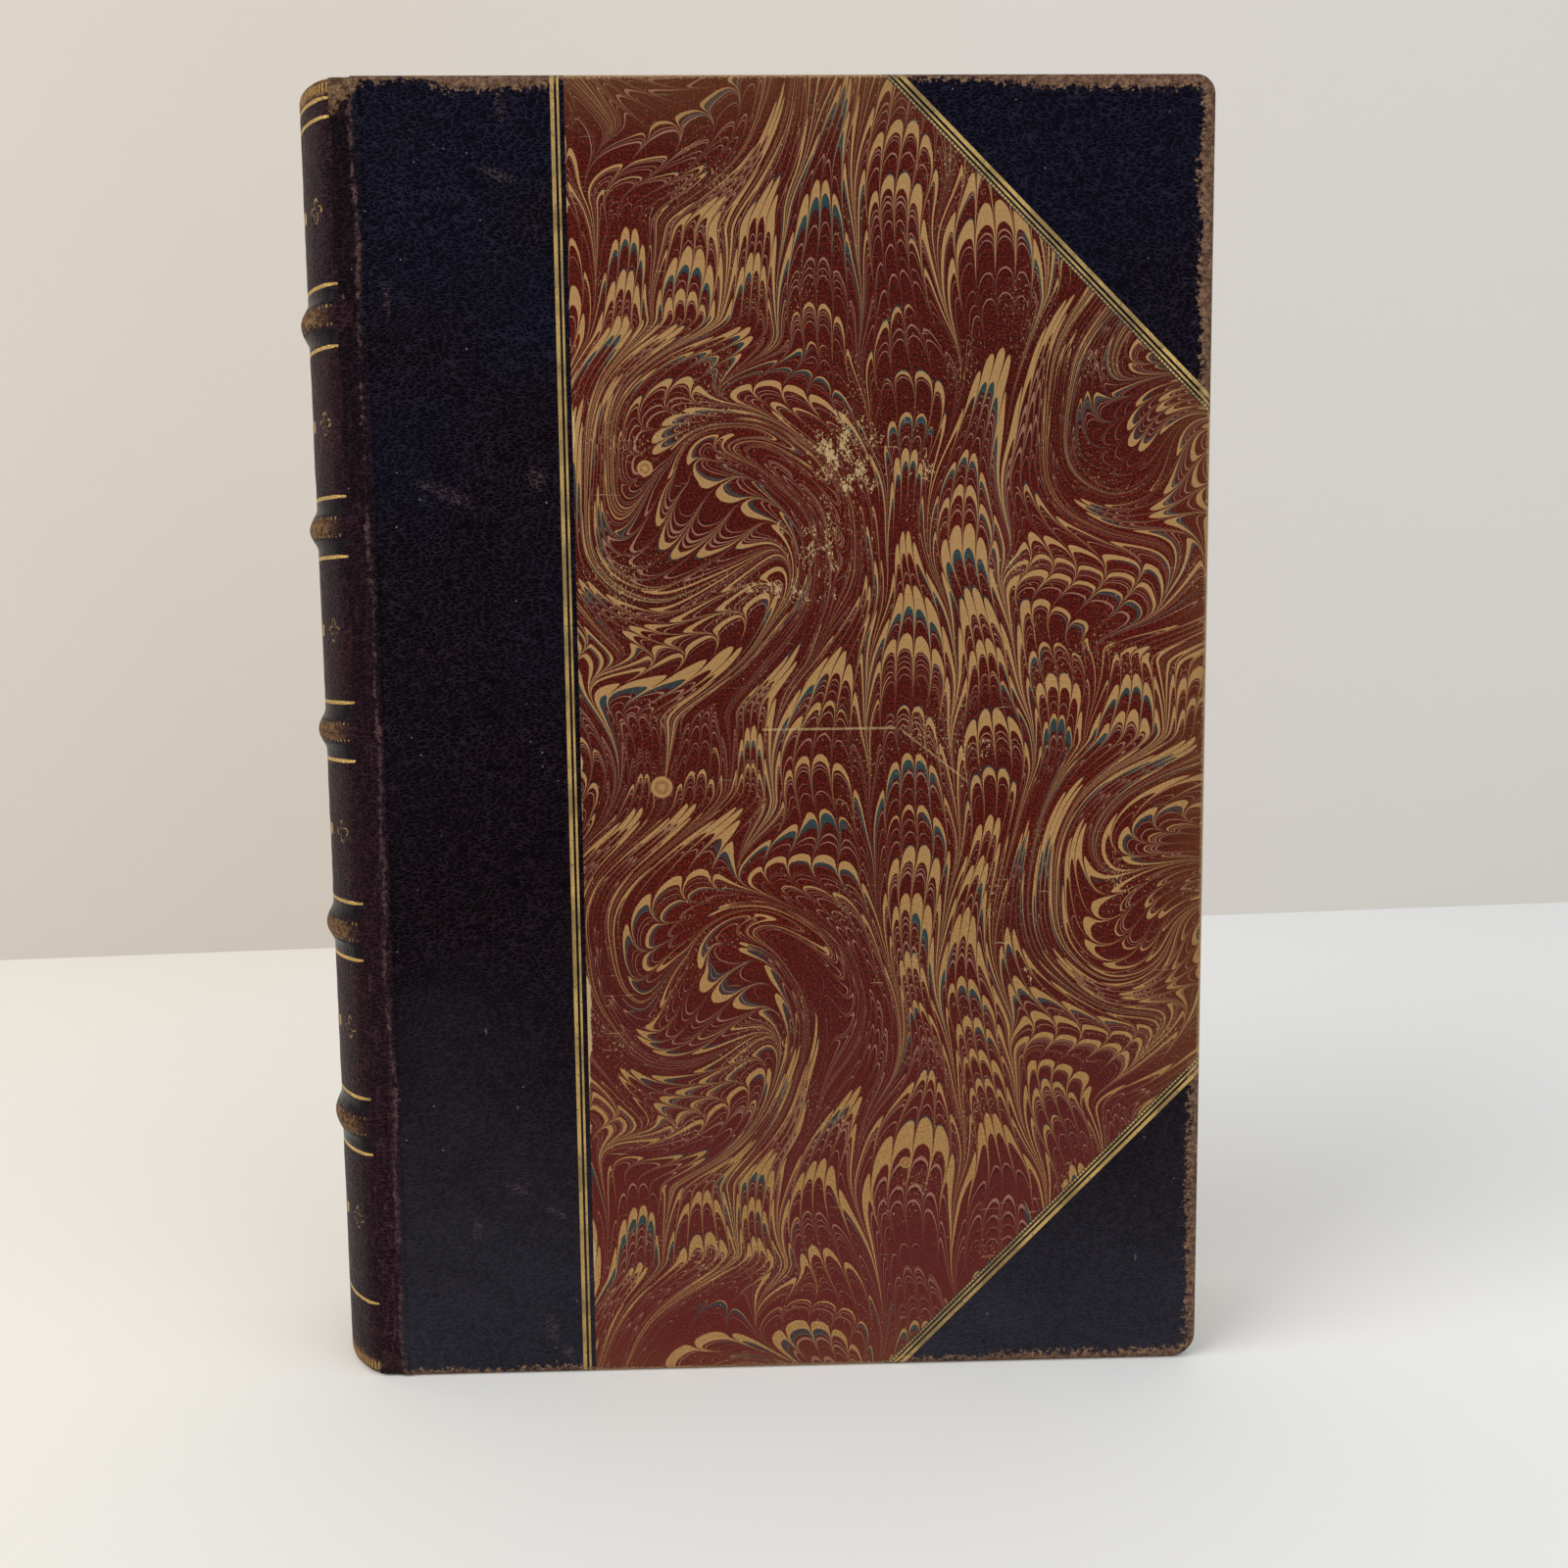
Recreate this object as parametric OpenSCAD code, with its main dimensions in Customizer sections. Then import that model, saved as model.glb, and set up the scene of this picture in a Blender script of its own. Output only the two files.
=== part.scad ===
// Half-leather hardback book, standing upright.
// A rounded and backed text block carries a leather spine with raised bands.
// Two boards hinge on it, each with a leather side strip, two leather corners and a marbled paper side.
// The book stands on its tail edge at Z = 0, with the spine towards -X and the front cover facing -Y.

/* [Covers] */
// Height of the covers, over the leather
cover_h = 240; // [200:1:300]
// Width of a cover, from the joint to the fore-edge
cover_w = 154.4; // [120:0.2:200]
// Thickness of the closed book, over the leather of both covers
book_t = 38; // [30:0.5:60]
// Thickness of the board inside a cover
board_t = 2.6; // [2:0.1:4]
// Rounding along the board's edges
board_edge_r = 0.9; // [0.6:0.05:1]
// Rounding of the board's corner at the head of the fore-edge
head_corner_r = 3; // [2.4:0.1:6]
// Rounding of the board's corner at the tail of the fore-edge
tail_corner_r = 4.2; // [2.4:0.1:6]

/* [Covering] */
// Thickness of the leather
leather_t = 0.6; // [0.4:0.05:0.8]
// Thickness of the marbled paper
paper_t = 0.2; // [0.1:0.05:0.3]
// Visible width of the leather side strip, from the joint
side_strip_w = 38.1; // [25:0.1:50]
// Visible length of the head corner's leather, along the board's edge
head_corner_leg = 60.2; // [40:0.1:75]
// Visible length of the tail corner's leather, along the board's edge
tail_corner_leg = 60.8; // [40:0.1:75]
// How far the paper overlaps the leather
paper_overlap = 2; // [1:0.1:4]
// Width of the leather and paper that are turned in over the board's inner face
turn_in = 14; // [10:0.5:20]
// Thickness of the pastedown where it lies on the turn-ins
pastedown_t = 0.2; // [0.15:0.05:0.3]
// Margin between the cover's edge and the pastedown
pastedown_margin = 3.5; // [2:0.1:6]

/* [Text block] */
// How far the covers reach past the pages at head, tail and fore-edge
square_w = 3; // [2.4:0.1:5]
// Depth of the hollow in the fore-edge
fore_edge_depth = 4; // [2:0.1:6]
// Thickness of one free flyleaf
flyleaf_t = 0.2; // [0.15:0.05:0.3]
// Thickness of the spine lining
lining_t = 0.6; // [0.4:0.05:0.9]
// Radius of the headband's core
headband_r = 1; // [0.8:0.05:1.2]

/* [Spine] */
// How far the spine stands out past the joint
spine_bulge = 12.6; // [11:0.1:16]
// Outer radius of each shoulder
shoulder_r = 5; // [4:0.1:6]
// How far each shoulder lies below the cover's face
shoulder_drop = 0.6; // [0.4:0.1:1.2]
// Distance from the joint to the highest line of the shoulder
shoulder_w = 2.1; // [1.6:0.1:2.8]
// Thickness of the leather turned over at each cap
cap_t = 0.8; // [0.6:0.1:1]
// Width of each cap, from the back of the spine towards the headband
cap_w = 2; // [1.6:0.1:2.4]

/* [Raised bands] */
// Number of raised bands
band_count = 5; // [3:1:5]
// Distance from the head of the book to the middle of the first band
head_panel_h = 41.1; // [30:0.1:50]
// Distance from the tail of the book to the middle of the last band
tail_panel_h = 49.3; // [30:0.1:60]
// Width of a band at its foot
band_w = 5.2; // [4:0.1:7]
// How far a band stands out at the middle of the spine
band_proud = 1.8; // [1.2:0.1:2.4]
// Distance round the spine between the end of a band and the start of the shoulder
band_fade = 1.2; // [0.6:0.1:4]

/* [Gilt rules] */
// Depth of the gilt rules in the leather
gilt_t = 0.1; // [0.05:0.05:0.2]
// Width of a gilt rule on the spine
spine_rule_w = 0.7; // [0.4:0.1:1]
// Distance from the middle of a band to the rule on each side of it
band_rule_offset = 5.4; // [4.6:0.1:7]
// Distance from the head of the book to the upper head rule
upper_head_rule = 3.8; // [3:0.1:5]
// Distance from the head of the book to the lower head rule
lower_head_rule = 7; // [6:0.1:9]
// Distance from the tail of the book to the tail rule
tail_rule = 14.5; // [10:0.1:20]
// Width of the thick gilt rule on the covers
thick_rule_w = 0.7; // [0.4:0.05:0.9]
// Width of the thin gilt rules on the covers
thin_rule_w = 0.4; // [0.3:0.05:0.5]
// Distance from the paper's edge to the middle of the thick rule
thick_rule_offset = 2.1; // [1.9:0.1:3]
// Distance from the paper's edge to the middle of the thin rule
thin_rule_offset = 1.1; // [0.95:0.05:1.2]
// Distance from the paper's edge to the middle of the corners' edge rule
edge_rule_offset = 0.35; // [0.25:0.05:0.45]

/* [Clearances] */
// Gap between the spine leather and each cover at the joint
joint_gap = 0.3; // [0.2:0.05:0.5]
// Gap between each pastedown and the flyleaf beside it
leaf_gap = 0.3; // [0.2:0.05:0.5]

/* [Hidden] */
$fn = 96;
// Reach of shapes that only cut, and how far they pass through a face
far = 500;
past = 1;

// Depths of a cover's layers, measured from the middle of the book
half_t = book_t / 2;
board_outer = half_t - leather_t;
board_inner = board_outer - board_t;
fill_t = leather_t - paper_t;
cover_inner = board_inner - leather_t - pastedown_t;
leaf_outer = cover_inner - leaf_gap;
pages_half_t = leaf_outer - flyleaf_t;

// The board's edges, measured from the joint and from the tail
board_x0 = joint_gap + leather_t;
board_x1 = cover_w - leather_t;
board_z0 = leather_t;
board_z1 = cover_h - leather_t;

// The spine's section is one large arc, tangent to a round shoulder at each side
cover_layers = lining_t + leather_t;
shoulder_y = half_t - shoulder_drop - shoulder_r;
spine_cx = (pow(shoulder_w, 2) + pow(shoulder_y, 2) - pow(spine_bulge - shoulder_r, 2))
    / (2 * (spine_bulge - shoulder_r - shoulder_w));
spine_r = spine_cx + spine_bulge;
shoulder_angle = atan2(shoulder_y, spine_cx + shoulder_w);

// A band runs on an arc of its own, which meets the spine's arc where the band has faded out
band_pitch = (cover_h - head_panel_h - tail_panel_h) / (band_count - 1);
band_tube_r = (pow(band_w / 2, 2) + pow(band_proud, 2)) / (2 * band_proud);
fade_angle = shoulder_angle - band_fade / spine_r * 180 / PI;
fade_x = spine_cx - spine_r * cos(fade_angle);
band_crest_r = spine_r + band_proud;
band_shift = (pow(band_crest_r, 2) - pow(spine_r, 2)) / (2 * (band_crest_r - spine_r * cos(fade_angle)));
band_cx = spine_cx - band_shift;
band_ring_r = band_crest_r - band_shift - band_tube_r;

// The pages' edges, and the arc of the hollow fore-edge
page_z0 = square_w;
page_z1 = cover_h - square_w;
page_x1 = cover_w - square_w;
fore_edge_r = (pow(pages_half_t, 2) + pow(fore_edge_depth, 2)) / (2 * fore_edge_depth);
headband_ring_r = spine_r - cover_layers - headband_r;
headband_sink = headband_r / 5;

// The origin is under the middle of the closed book
joint_x = (spine_bulge + band_proud - cover_w) / 2;

leather_colour = [0.07, 0.06, 0.10];
spine_colour = [0.15, 0.07, 0.09];
paper_colour = [0.42, 0.16, 0.12];
gilt_colour = [0.72, 0.55, 0.25];
board_colour = [0.55, 0.47, 0.36];
fill_colour = [0.70, 0.63, 0.50];
page_colour = [0.90, 0.85, 0.74];
leaf_colour = [0.93, 0.89, 0.80];
silk_colour = [0.66, 0.30, 0.22];
cord_colour = [0.70, 0.62, 0.48];
lining_colour = [0.76, 0.70, 0.58];

cover_pieces = ["board", "side_leather", "head_corner", "tail_corner", "outer_fill", "inner_fill",
    "marbled_paper", "pastedown", "gilt_rules"];

function band_z(i) = cover_h - head_panel_h - (i - 1) * band_pitch;

// A piece is drawn with X = 0 at the joint, and this moves it to the book's own origin
module in_place() {
    translate([joint_x, 0, 0]) children();
}

// The same for a piece of the back cover, which is drawn as one of the front
module at_back() {
    mirror([0, 1, 0]) in_place() children();
}

// A rectangle with rounded corners
module rounded_rect(len, thick, r) {
    translate([r, 0]) square([len - 2 * r, thick]);
    translate([0, r]) square([len, thick - 2 * r]);
    for (x = [r, len - r], y = [r, thick - r])
        translate([x, y]) circle(r);
}

// Half of the section through a disc with a rounded rim
module rim_section(disc_r, thick, r) {
    intersection() {
        translate([-disc_r, 0]) rounded_rect(2 * disc_r, thick, r);
        square([disc_r, thick]);
    }
}

// Makes a drawing of the cover's face solid, between two depths from the middle of the book
module face_prism(depth_in, depth_out) {
    translate([0, -depth_in, 0]) rotate([90, 0, 0]) linear_extrude(depth_out - depth_in) children();
}

// The board with its rounded edges and corners, grown by the same amount on every side
module plate(grow) {
    x0 = board_x0 - grow;
    x1 = board_x1 + grow;
    z0 = board_z0 - grow;
    z1 = board_z1 + grow;
    y0 = -board_outer - grow;
    thick = board_t + 2 * grow;
    r = board_edge_r + grow;
    head_r = head_corner_r + grow;
    tail_r = tail_corner_r + grow;
    difference() {
        intersection() {
            translate([x0, y0, z0]) linear_extrude(z1 - z0) rounded_rect(x1 - x0, thick, r);
            translate([x0, y0, z0]) rotate([90, 0, 90]) linear_extrude(x1 - x0)
                rounded_rect(thick, z1 - z0, r);
        }
        translate([x1 - head_r, y0 - past, z1 - head_r])
            cube([head_r + past, thick + 2 * past, head_r + past]);
        translate([x1 - tail_r, y0 - past, z0 - past])
            cube([tail_r + past, thick + 2 * past, tail_r + past]);
    }
    translate([x1 - head_r, y0 + thick, z1 - head_r]) rotate([90, 0, 0])
        rotate_extrude(angle = 90) rim_section(head_r, thick, r);
    translate([x1 - tail_r, y0, z0 + tail_r]) rotate([-90, 0, 0])
        rotate_extrude(angle = 90) rim_section(tail_r, thick, r);
}

// Everything between two growths of the board
module skin(inner, outer) {
    difference() {
        plate(outer);
        plate(inner);
    }
}

// Drawing of the side strip, reaching past its visible edge by extra
module side_zone(extra = 0) {
    translate([-far, -far]) square([far + side_strip_w + extra, 3 * far]);
}

// Drawing of a triangle at the tail corner, reaching past its visible edge by extra
module triangle_zone(leg, extra) {
    reach = leg + extra * sqrt(2) + far;
    polygon([[cover_w - reach, -far], [cover_w + far, -far], [cover_w + far, reach]]);
}

module tail_zone(extra = 0) {
    triangle_zone(tail_corner_leg, extra);
}

module head_zone(extra = 0) {
    translate([0, cover_h]) mirror([0, 1]) triangle_zone(head_corner_leg, extra);
}

module leather_zone(extra = 0) {
    side_zone(extra);
    tail_zone(extra);
    head_zone(extra);
}

module whole_face() {
    translate([-far, -far]) square([3 * far, 3 * far]);
}

// The part of the inner face that the turn-ins leave free
module inside_turn_ins() {
    translate([-far, turn_in]) square([far + cover_w - turn_in, cover_h - 2 * turn_in]);
}

// A covering is drawn once: it covers the face and the edges, and on the inner face only its turn-in
module wrapped() {
    face_prism(board_inner, half_t + past) children();
    face_prism(cover_inner - past, board_inner) difference() {
        children();
        inside_turn_ins();
    }
}

module marbled_paper_solid() {
    intersection() {
        skin(fill_t, leather_t);
        wrapped() difference() {
            whole_face();
            leather_zone();
        }
    }
}

// A line of the given width along a zone's edge, at a distance from it
module side_line(offset_in, w) {
    difference() {
        side_zone(w / 2 - offset_in);
        side_zone(-w / 2 - offset_in);
    }
}

module corner_lines(offset_in, w) {
    difference() {
        tail_zone(w / 2 - offset_in);
        tail_zone(-w / 2 - offset_in);
    }
    difference() {
        head_zone(w / 2 - offset_in);
        head_zone(-w / 2 - offset_in);
    }
}

module gilt_rules_solid() {
    intersection() {
        skin(leather_t - gilt_t, leather_t);
        face_prism(board_outer, half_t + past) union() {
            side_line(thick_rule_offset, thick_rule_w);
            side_line(thin_rule_offset, thin_rule_w);
            corner_lines(thick_rule_offset, thick_rule_w);
            corner_lines(thin_rule_offset, thin_rule_w);
            corner_lines(edge_rule_offset, thin_rule_w);
        }
    }
}

// A piece of leather on the board, thinned under the paper and pressed in under the gilt rules
module leather_on_board() {
    difference() {
        intersection() {
            skin(0, leather_t);
            wrapped() children();
        }
        marbled_paper_solid();
        gilt_rules_solid();
    }
}

module board() color(board_colour) {
    plate(0);
}

module side_leather() color(leather_colour) {
    leather_on_board() side_zone(paper_overlap);
}

module head_corner() color(leather_colour) {
    leather_on_board() head_zone(paper_overlap);
}

module tail_corner() color(leather_colour) {
    leather_on_board() tail_zone(paper_overlap);
}

// Card that levels the board's face between the pieces of leather
module outer_fill() color(fill_colour) {
    intersection() {
        skin(0, fill_t);
        face_prism(board_inner, half_t + past) difference() {
            whole_face();
            leather_zone(paper_overlap);
        }
    }
}

// Card that levels the board's inner face between the turn-ins
module inner_fill() color(fill_colour) {
    intersection() {
        skin(0, fill_t);
        face_prism(cover_inner - past, board_inner) union() {
            inside_turn_ins();
            difference() {
                whole_face();
                leather_zone(paper_overlap);
            }
        }
    }
}

module marbled_paper() color(paper_colour) {
    marbled_paper_solid();
}

// The pastedown lies on the turn-ins and dips to the fill between them
module pastedown() color(leaf_colour) {
    x0 = board_x0 + board_edge_r;
    face_prism(cover_inner, board_inner - leather_t)
        translate([x0, pastedown_margin])
            square([cover_w - pastedown_margin - x0, cover_h - 2 * pastedown_margin]);
    face_prism(board_inner - leather_t, board_inner - fill_t)
        translate([x0, turn_in]) square([cover_w - turn_in - x0, cover_h - 2 * turn_in]);
}

module gilt_rules() color(gilt_colour) {
    gilt_rules_solid();
}

// The wedge from the centre of the spine's arc that holds the arc between the shoulders
module spine_wedge(z0, z1) {
    side_x = -far * cos(shoulder_angle);
    side_y = far * sin(shoulder_angle);
    translate([spine_cx, 0, z0]) linear_extrude(z1 - z0)
        polygon([[0, 0], [side_x, -side_y], [side_x, side_y]]);
}

// The rounded spine and its shoulders up to X = reach, grown from the pages on every side
module spine_body(grow, z0, z1, reach = 0) {
    arc_r = spine_r - cover_layers + grow;
    side_r = shoulder_r - cover_layers + grow;
    side_y = shoulder_y + side_r;
    h = z1 - z0;
    intersection() {
        union() {
            intersection() {
                translate([spine_cx, 0, z0]) cylinder(r = arc_r, h = h);
                spine_wedge(z0 - past, z1 + past);
            }
            for (side = [-1, 1])
                translate([-shoulder_w, side * shoulder_y, z0]) cylinder(r = side_r, h = h);
            translate([-shoulder_w, -side_y, z0]) cube([shoulder_w + reach + past, 2 * side_y, h]);
        }
        translate([-far, -far / 2, z0 - past]) cube([far + reach, far, h + 2 * past]);
    }
}

// The round rib of band i, as thick as the leather's outside less shrink
module band_rib(i, shrink) {
    intersection() {
        translate([band_cx, 0, band_z(i)]) rotate_extrude()
            translate([band_ring_r, 0]) circle(band_tube_r - shrink);
        translate([fade_x - far, -far / 2, 0]) cube([far, far, cover_h]);
    }
}

module spine_rule(z) {
    intersection() {
        difference() {
            spine_body(cover_layers, z - spine_rule_w / 2, z + spine_rule_w / 2);
            spine_body(cover_layers - gilt_t, z - spine_rule_w, z + spine_rule_w, reach = past);
        }
        translate([-shoulder_w - far, -far / 2, z - spine_rule_w]) cube([far, far, 2 * spine_rule_w]);
    }
}

module spine_rules_solid() {
    for (z = [cover_h - upper_head_rule, cover_h - lower_head_rule, tail_rule])
        spine_rule(z);
    for (i = [1:band_count], side = [-1, 1])
        spine_rule(band_z(i) + side * band_rule_offset);
}

module spine_leather() color(spine_colour) {
    difference() {
        union() {
            spine_body(cover_layers, 0, cover_h);
            for (i = [1:band_count])
                band_rib(i, 0);
        }
        spine_body(lining_t, cap_t, cover_h - cap_t, reach = past);
        spine_body(cover_layers - cap_w, -past, cover_h + past, reach = past);
        for (i = [1:band_count])
            band_rib(i, leather_t);
        spine_rules_solid();
    }
}

module spine_gilt_rules() color(gilt_colour) {
    spine_rules_solid();
}

module band_core(i) color(cord_colour) {
    difference() {
        band_rib(i, leather_t);
        spine_body(lining_t, page_z0, page_z1, reach = past);
    }
}

module spine_lining() color(lining_colour) {
    difference() {
        spine_body(lining_t, page_z0, page_z1);
        spine_body(0, page_z0 - past, page_z1 + past, reach = past);
    }
}

module text_block() color(page_colour) {
    difference() {
        union() {
            spine_body(0, page_z0, page_z1);
            translate([-shoulder_w, -pages_half_t, page_z0])
                cube([page_x1 + shoulder_w, 2 * pages_half_t, page_z1 - page_z0]);
        }
        translate([page_x1 - fore_edge_depth + fore_edge_r, 0, page_z0 - past])
            cylinder(r = fore_edge_r, h = page_z1 - page_z0 + 2 * past, $fn = 4 * $fn);
    }
}

module flyleaf() color(leaf_colour) {
    face_prism(pages_half_t, leaf_outer)
        translate([0, page_z0]) square([page_x1, page_z1 - page_z0]);
}

// A headband's wound core, seated on the pages just inside the cap
module headband() color(silk_colour) {
    intersection() {
        translate([spine_cx, 0, page_z1 + headband_r - headband_sink]) rotate_extrude()
            translate([headband_ring_r, 0]) circle(headband_r);
        spine_wedge(page_z1, cover_h);
    }
}

module tailband() {
    translate([0, 0, cover_h]) mirror([0, 0, 1]) headband();
}

in_place() text_block();
in_place() flyleaf();  // front_flyleaf
at_back() flyleaf();  // back_flyleaf
in_place() headband();
in_place() tailband();
in_place() spine_lining();
for (i = [1:band_count])
    in_place() band_core(i);
in_place() spine_leather();
in_place() spine_gilt_rules();
in_place() board();  // front_board
in_place() side_leather();  // front_side_leather
in_place() head_corner();  // front_head_corner
in_place() tail_corner();  // front_tail_corner
in_place() outer_fill();  // front_outer_fill
in_place() inner_fill();  // front_inner_fill
in_place() marbled_paper();  // front_marbled_paper
in_place() pastedown();  // front_pastedown
in_place() gilt_rules();  // front_gilt_rules
at_back() board();  // back_board
at_back() side_leather();  // back_side_leather
at_back() head_corner();  // back_head_corner
at_back() tail_corner();  // back_tail_corner
at_back() outer_fill();  // back_outer_fill
at_back() inner_fill();  // back_inner_fill
at_back() marbled_paper();  // back_marbled_paper
at_back() pastedown();  // back_pastedown
at_back() gilt_rules();  // back_gilt_rules
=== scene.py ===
# %% [markdown]
# # A half-leather book with marbled sides
# The CAD model gives every size: the boards, the pages, the hinge lines. This lesson dresses it.
# Rigid parts whose shape is right keep their CAD mesh and get a material. Leather that bends, the
# raised bands and the sewn headbands are modelled again, because their charm is in soft shapes.
# All lengths are in metres; MM turns millimetres into them.

import bmesh
import bpy
import math
from mathutils import Matrix, Vector, noise


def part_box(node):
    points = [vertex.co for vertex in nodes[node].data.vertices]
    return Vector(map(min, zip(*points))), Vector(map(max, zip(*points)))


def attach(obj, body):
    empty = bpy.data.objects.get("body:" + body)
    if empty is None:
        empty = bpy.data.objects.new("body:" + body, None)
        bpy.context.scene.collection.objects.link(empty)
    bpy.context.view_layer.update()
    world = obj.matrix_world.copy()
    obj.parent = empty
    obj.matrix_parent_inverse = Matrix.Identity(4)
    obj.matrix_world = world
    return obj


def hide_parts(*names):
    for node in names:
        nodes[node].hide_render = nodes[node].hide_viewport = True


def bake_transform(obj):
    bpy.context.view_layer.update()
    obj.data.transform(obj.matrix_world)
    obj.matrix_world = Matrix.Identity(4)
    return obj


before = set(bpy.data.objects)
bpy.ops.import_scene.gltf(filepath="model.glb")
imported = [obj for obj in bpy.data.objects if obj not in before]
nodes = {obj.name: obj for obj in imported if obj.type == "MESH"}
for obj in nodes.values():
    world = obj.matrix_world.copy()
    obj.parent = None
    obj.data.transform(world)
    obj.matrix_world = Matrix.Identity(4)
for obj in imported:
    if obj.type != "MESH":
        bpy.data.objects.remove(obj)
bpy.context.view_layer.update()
MM = 0.001
print("pieces in the frame:", len(nodes))

# %% [markdown]
# ## Sizes taken from the frame
# A cover's box gives the joint, the fore-edge and the faces. The spine's section is one large arc
# between two small shoulders. Its radii repeat the CAD source, and the print shows the large one.

# %% Measure the frame
strip_low, strip_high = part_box("front_side_leather")
spine_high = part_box("spine_leather")[1]
JOINT_X, BOOK_H = spine_high.x, spine_high.z
FACE_Y, STRIP_X = -strip_low.y, strip_high.x
FORE_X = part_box("front_head_corner")[1].x
# The same in millimetres, for the patterns
TALL, FACE, FORE = BOOK_H / MM, FACE_Y / MM, FORE_X / MM
SHOULDER_R, SHOULDER_W, SHOULDER_Y = 5 * MM, 2.1 * MM, 13.4 * MM
BULGE = 12.6 * MM
ARC_CX = (SHOULDER_W**2 + SHOULDER_Y**2 - (BULGE - SHOULDER_R) ** 2) / (
    2 * (BULGE - SHOULDER_R - SHOULDER_W)
)
ARC_R = ARC_CX + BULGE
ARC_ANGLE = math.atan2(SHOULDER_Y, ARC_CX + SHOULDER_W)
print("leather strip ends at", round(STRIP_X, 4))
print("joint at", round(JOINT_X, 4), "face at", round(FACE_Y, 4), "arc radius", round(ARC_R, 4))

# %% [markdown]
# ## Camera
# The camera stands 28 cm in front of the book, a little above its middle, and looks down six
# degrees. Its three turns are multiplied in the order in which a tripod has them.

# %% Set the camera
camera_data = bpy.data.cameras.new("camera")
camera_data.lens, camera_data.sensor_width = 34.67, 36
EYE = (-0.0017, -0.2975, 0.1425)
PAN, TILT, ROLL = math.radians(-1.49), math.radians(84.05), math.radians(-0.67)
camera = bpy.data.objects.new("camera", camera_data)
bpy.context.scene.collection.objects.link(camera)
camera.matrix_world = (
    Matrix.Translation(EYE)
    @ Matrix.Rotation(PAN, 4, "Z")
    @ Matrix.Rotation(TILT, 4, "X")
    @ Matrix.Rotation(ROLL, 4, "Z")
)
bpy.context.scene.camera = camera
bpy.context.scene.view_settings.view_transform = "Standard"
print("camera at", [round(v, 4) for v in camera.location])

# %% [markdown]
# ## Patterns as arithmetic
# Marbling, leather grain and rubbed edges are sums of waves and noise. Wiring each sum by hand
# takes pages, so this small class lets a pattern be written as plain arithmetic: every operation
# adds one Math node, and the result can be plugged into a shader.


# %% A number that flows through nodes
class Flow:
    def __init__(self, tree, value):
        self.tree, self.value = tree, value

    def math(self, operation, *others, clamp=False):
        node = self.tree.nodes.new("ShaderNodeMath")
        node.operation, node.use_clamp = operation, clamp
        for socket, item in zip(node.inputs, (self, *others)):
            item = item.value if isinstance(item, Flow) else item
            if isinstance(item, bpy.types.NodeSocket):
                self.tree.links.new(item, socket)
            else:
                socket.default_value = item
        return Flow(self.tree, node.outputs[0])

    def __add__(self, other):
        return self.math("ADD", other)

    def __sub__(self, other):
        return self.math("SUBTRACT", other)

    def __mul__(self, other):
        return self.math("MULTIPLY", other)

    def __truediv__(self, other):
        return self.math("DIVIDE", other)

    def __rsub__(self, other):
        return Flow(self.tree, other).math("SUBTRACT", self)

    __radd__, __rmul__ = __add__, __mul__

    def clamp(self):
        """The number kept between 0 and 1."""
        return self.math("ADD", 0.0, clamp=True)

    def size(self):
        """The number without its sign."""
        return self.math("ABSOLUTE")

    def most(self, other):
        return self.math("MAXIMUM", other)

    def least(self, other):
        return self.math("MINIMUM", other)

    def wave(self, pitch):
        """A sine that comes back after every pitch."""
        return (self * (2 * math.pi / pitch)).math("SINE")

    def step(self, low, high):
        """0 up to low and 1 from high on, with a soft rise between them."""
        node = self.tree.nodes.new("ShaderNodeMapRange")
        node.interpolation_type = "SMOOTHSTEP"
        self.tree.links.new(self.value, node.inputs["Value"])
        node.inputs["From Min"].default_value = low
        node.inputs["From Max"].default_value = high
        return Flow(self.tree, node.outputs[0])

    def band(self, low, high, soft):
        """1 between low and high, with soft edges."""
        rise = self.step(low - soft, low + soft)
        return rise * (1 - self.step(high - soft, high + soft))

    def to_nearest(self, pitch):
        """Distance to the nearest multiple of pitch."""
        return (self - (self / pitch).math("ROUND") * pitch).size()


def radius(away_x, away_z):
    """Distance from a point, from the two distances along the axes."""
    return (away_x * away_x + away_z * away_z).math("SQRT")


def spot(away_x, away_z, wide, tall):
    """1 in the middle of an ellipse, falling to 0 at its rim."""
    away_x, away_z = away_x / wide, away_z / tall
    return (1 - (away_x * away_x + away_z * away_z)).clamp()


# %% [markdown]
# ## A palette for one material
# Each material starts here. It hands out the object's coordinates in millimetres, noise, a mix of
# two colours by a mask, and the Principled shader at the end.


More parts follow.
